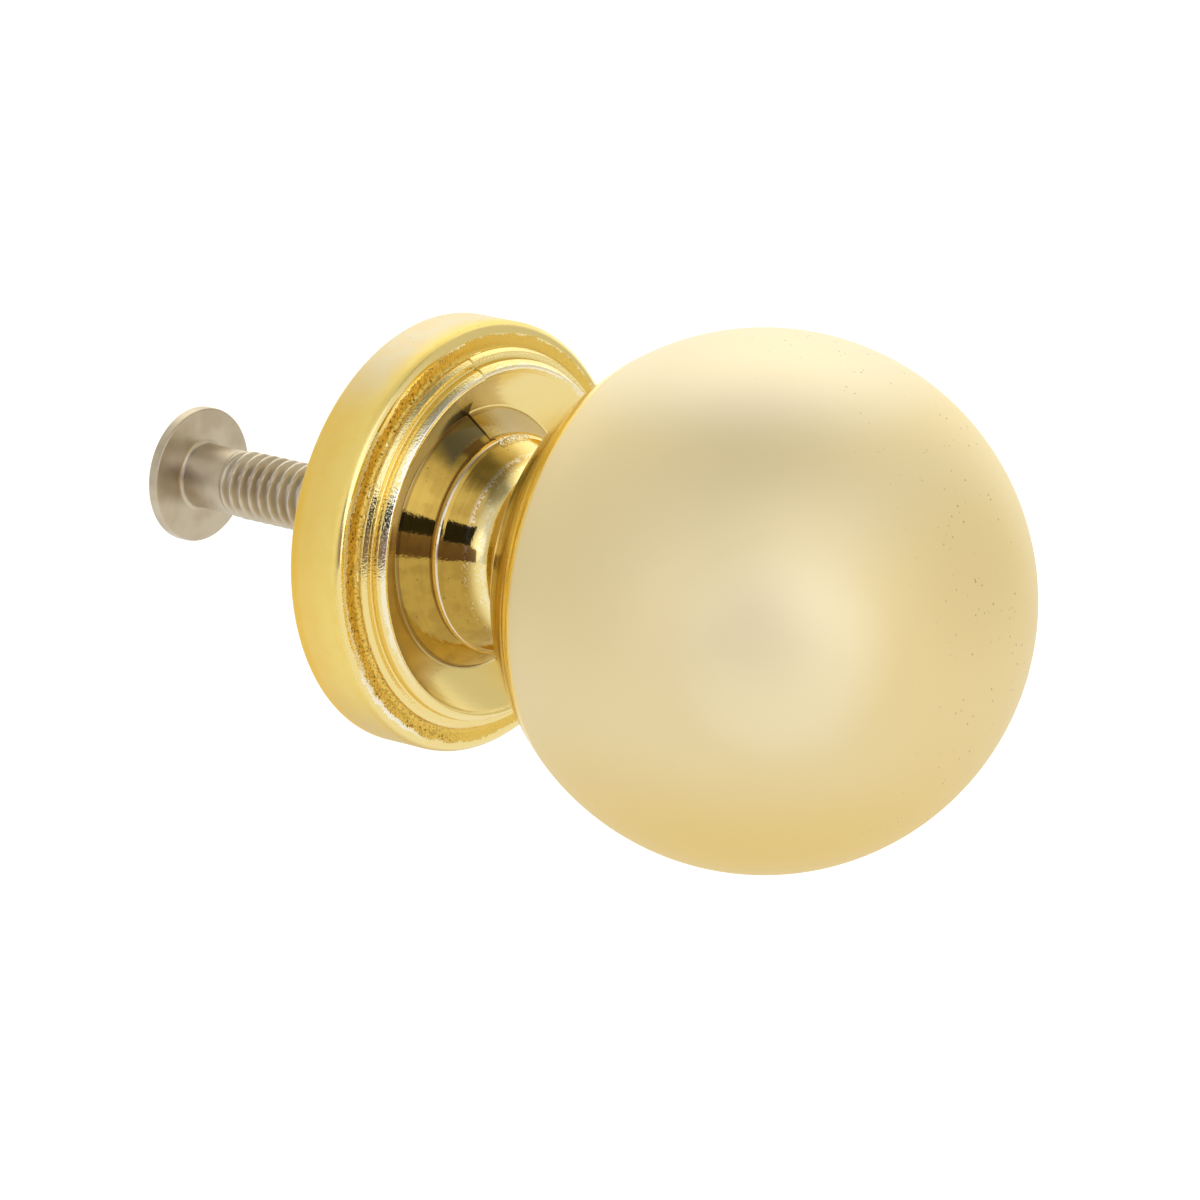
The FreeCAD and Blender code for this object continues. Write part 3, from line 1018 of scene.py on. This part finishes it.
# %% [markdown]
# ## Light
# Polished metal shows nothing but its surroundings, so the surroundings are the light. They are written
# as a soft tent seen from the knob: an even grey-white, softboxes behind, overhead and beside the
# camera, a dim strip over it, a pale floor, and the dark camera with the hand under it, which a polished
# taper sends straight back. Rays that come from the camera see plain white.

# %% Tent of light
WHITE = (1, 1, 1, 1)
HAND_BROWN = (1.0, 0.74, 0.70, 1)
COOL = (0.97, 1.0, 1.12, 1)
WARM = (1.0, 0.97, 0.84, 1)
TENT_LIGHT = 0.71
FLOOR_LIGHT = 0.85
SOFTBOXES = [
    # Towards (across, up, front), where the edge starts and ends as a cosine, added light
    ((0.0, 0.5, -0.87), 0.5, 0.95, 0.65),
    ((0.1, 0.94, -0.3), 0.8, 0.98, 0.65),
    ((0.0, 0.94, 0.34), 0.8, 0.98, -0.42),
    ((0.49, -0.17, 0.85), 0.5, 0.95, 0.26),
    ((0.0, -0.5, 0.87), 0.5, 0.95, 0.3),
    ((0.0, -0.17, 0.98), 0.5, 0.95, 0.28),
    ((0.4, -0.2, 0.89), 0.85, 0.98, 0.25),
    ((0.22, 0.5, 0.84), 0.92, 0.99, 0.32),
    ((-0.65, 0.0, 0.76), 0.93, 0.98, 0.35),
]
BODY_ACROSS = (-0.26, 0.12)  # the reflected camera body, from the view's axis, as sines
BODY_BOTTOM = (-0.165, -0.155)
BODY_TOP = (0.11, 0.12)
BODY_SLANT = 0.5
BODY_DARKENS = 0.97
HAND_ACROSS = (-0.55, 0.34)
HAND_UP = (-0.44, -0.17)
HAND_DARKENS = 0.8
FLOOR_EDGE = (-0.7, -0.1)


def body_and_hand(across, up, front):
    """Where the camera's body and the hand below it are seen, each from 0 to 1."""
    body = across.between(*BODY_ACROSS, 0.02) * up.rising(*BODY_BOTTOM)
    body = body * (up + across * BODY_SLANT).falling(*BODY_TOP) * front.rising(0.5, 0.6)
    hand = across.between(*HAND_ACROSS, 0.05) * up.between(*HAND_UP, 0.015) * front.rising(0.3, 0.5)
    return body, hand


def world_tent():
    world = bpy.data.worlds.new("tent")
    bpy.context.scene.world = world
    world.use_nodes = True
    world.node_tree.nodes.clear()
    graph = Graph(world.node_tree)
    ray = graph.node("ShaderNodeTexCoord")
    side = Vector((0, 0, 1)).cross(towards_camera).normalized()
    above = towards_camera.cross(side)
    across = graph.dot(ray, tuple(side))
    up = graph.dot(ray, tuple(above))
    front = graph.dot(ray, tuple(towards_camera))
    seen = graph.combine(across, up, front)
    light = TENT_LIGHT
    for towards, start, end, strength in SOFTBOXES:
        light = light + graph.dot(seen, towards).rising(start, end) * strength
    below = up.falling(*FLOOR_EDGE)
    light = light * (1.0 - below) + below * FLOOR_LIGHT
    body, hand = body_and_hand(across, up, front)
    light = light * (1.0 - body * BODY_DARKENS) * (1.0 - hand * HAND_DARKENS)
    tint = graph.mix(hand, graph.mix(front.rising(0.3, 0.95), WARM, COOL), HAND_BROWN)
    path = graph.node("ShaderNodeLightPath")
    tent = graph.node("ShaderNodeBackground", None, {"Color": tint, "Strength": light})
    plain = graph.node("ShaderNodeBackground", None, {"Color": WHITE, "Strength": 1.0})
    shown = graph.node("ShaderNodeMixShader", None, {0: path, 1: tent, 2: plain})
    graph.node("ShaderNodeOutputWorld", None, {0: shown})


world_tent()
print("the tent has", len(SOFTBOXES), "soft lights in it")

# %% [markdown]
# ## The floor
# A white floor far below keeps the light even from underneath. It is topped up for the camera and for
# reflections so that it reads as white, and it still takes the object's shadow.

# %% Floor
FLOOR_HEIGHT = -0.7
FLOOR_RADIUS = 4.0
FLOOR_SIDES = 64
FLOOR_WHITE = 0.8
FLOOR_TOP_UP = 0.42
REFLECTED_TOP_UP = 0.25


def floor():
    mesh = bpy.data.meshes.new("floor")
    shape = bmesh.new()
    place = Matrix.Translation((0, 0, FLOOR_HEIGHT))
    size = {"segments": FLOOR_SIDES, "radius": FLOOR_RADIUS}
    bmesh.ops.create_circle(shape, cap_ends=True, matrix=place, **size)
    shape.to_mesh(mesh)
    shape.free()
    made = bpy.data.objects.new("floor", mesh)
    bpy.context.scene.collection.objects.link(made)
    paint = bpy.data.materials.new("floor_white")
    paint.use_nodes = True
    paint.node_tree.nodes.clear()
    graph = Graph(paint.node_tree)
    seen = graph.node("ShaderNodeLightPath")
    glossy = Wire(graph, seen.socket.node.outputs["Is Glossy Ray"])
    colour = (FLOOR_WHITE, FLOOR_WHITE, FLOOR_WHITE, 1)
    matt = graph.node("ShaderNodeBsdfDiffuse", None, {"Color": colour})
    strength = seen * FLOOR_TOP_UP + glossy * REFLECTED_TOP_UP
    glow = graph.node("ShaderNodeEmission", None, {"Color": WHITE, "Strength": strength})
    lit = graph.node("ShaderNodeAddShader", None, {0: matt, 1: glow})
    graph.node("ShaderNodeOutputMaterial", None, {0: lit})
    mesh.materials.append(paint)
    return made


floor()
bpy.context.scene.view_settings.view_transform = "Standard"
print("floor", FLOOR_HEIGHT, "m below the axis")
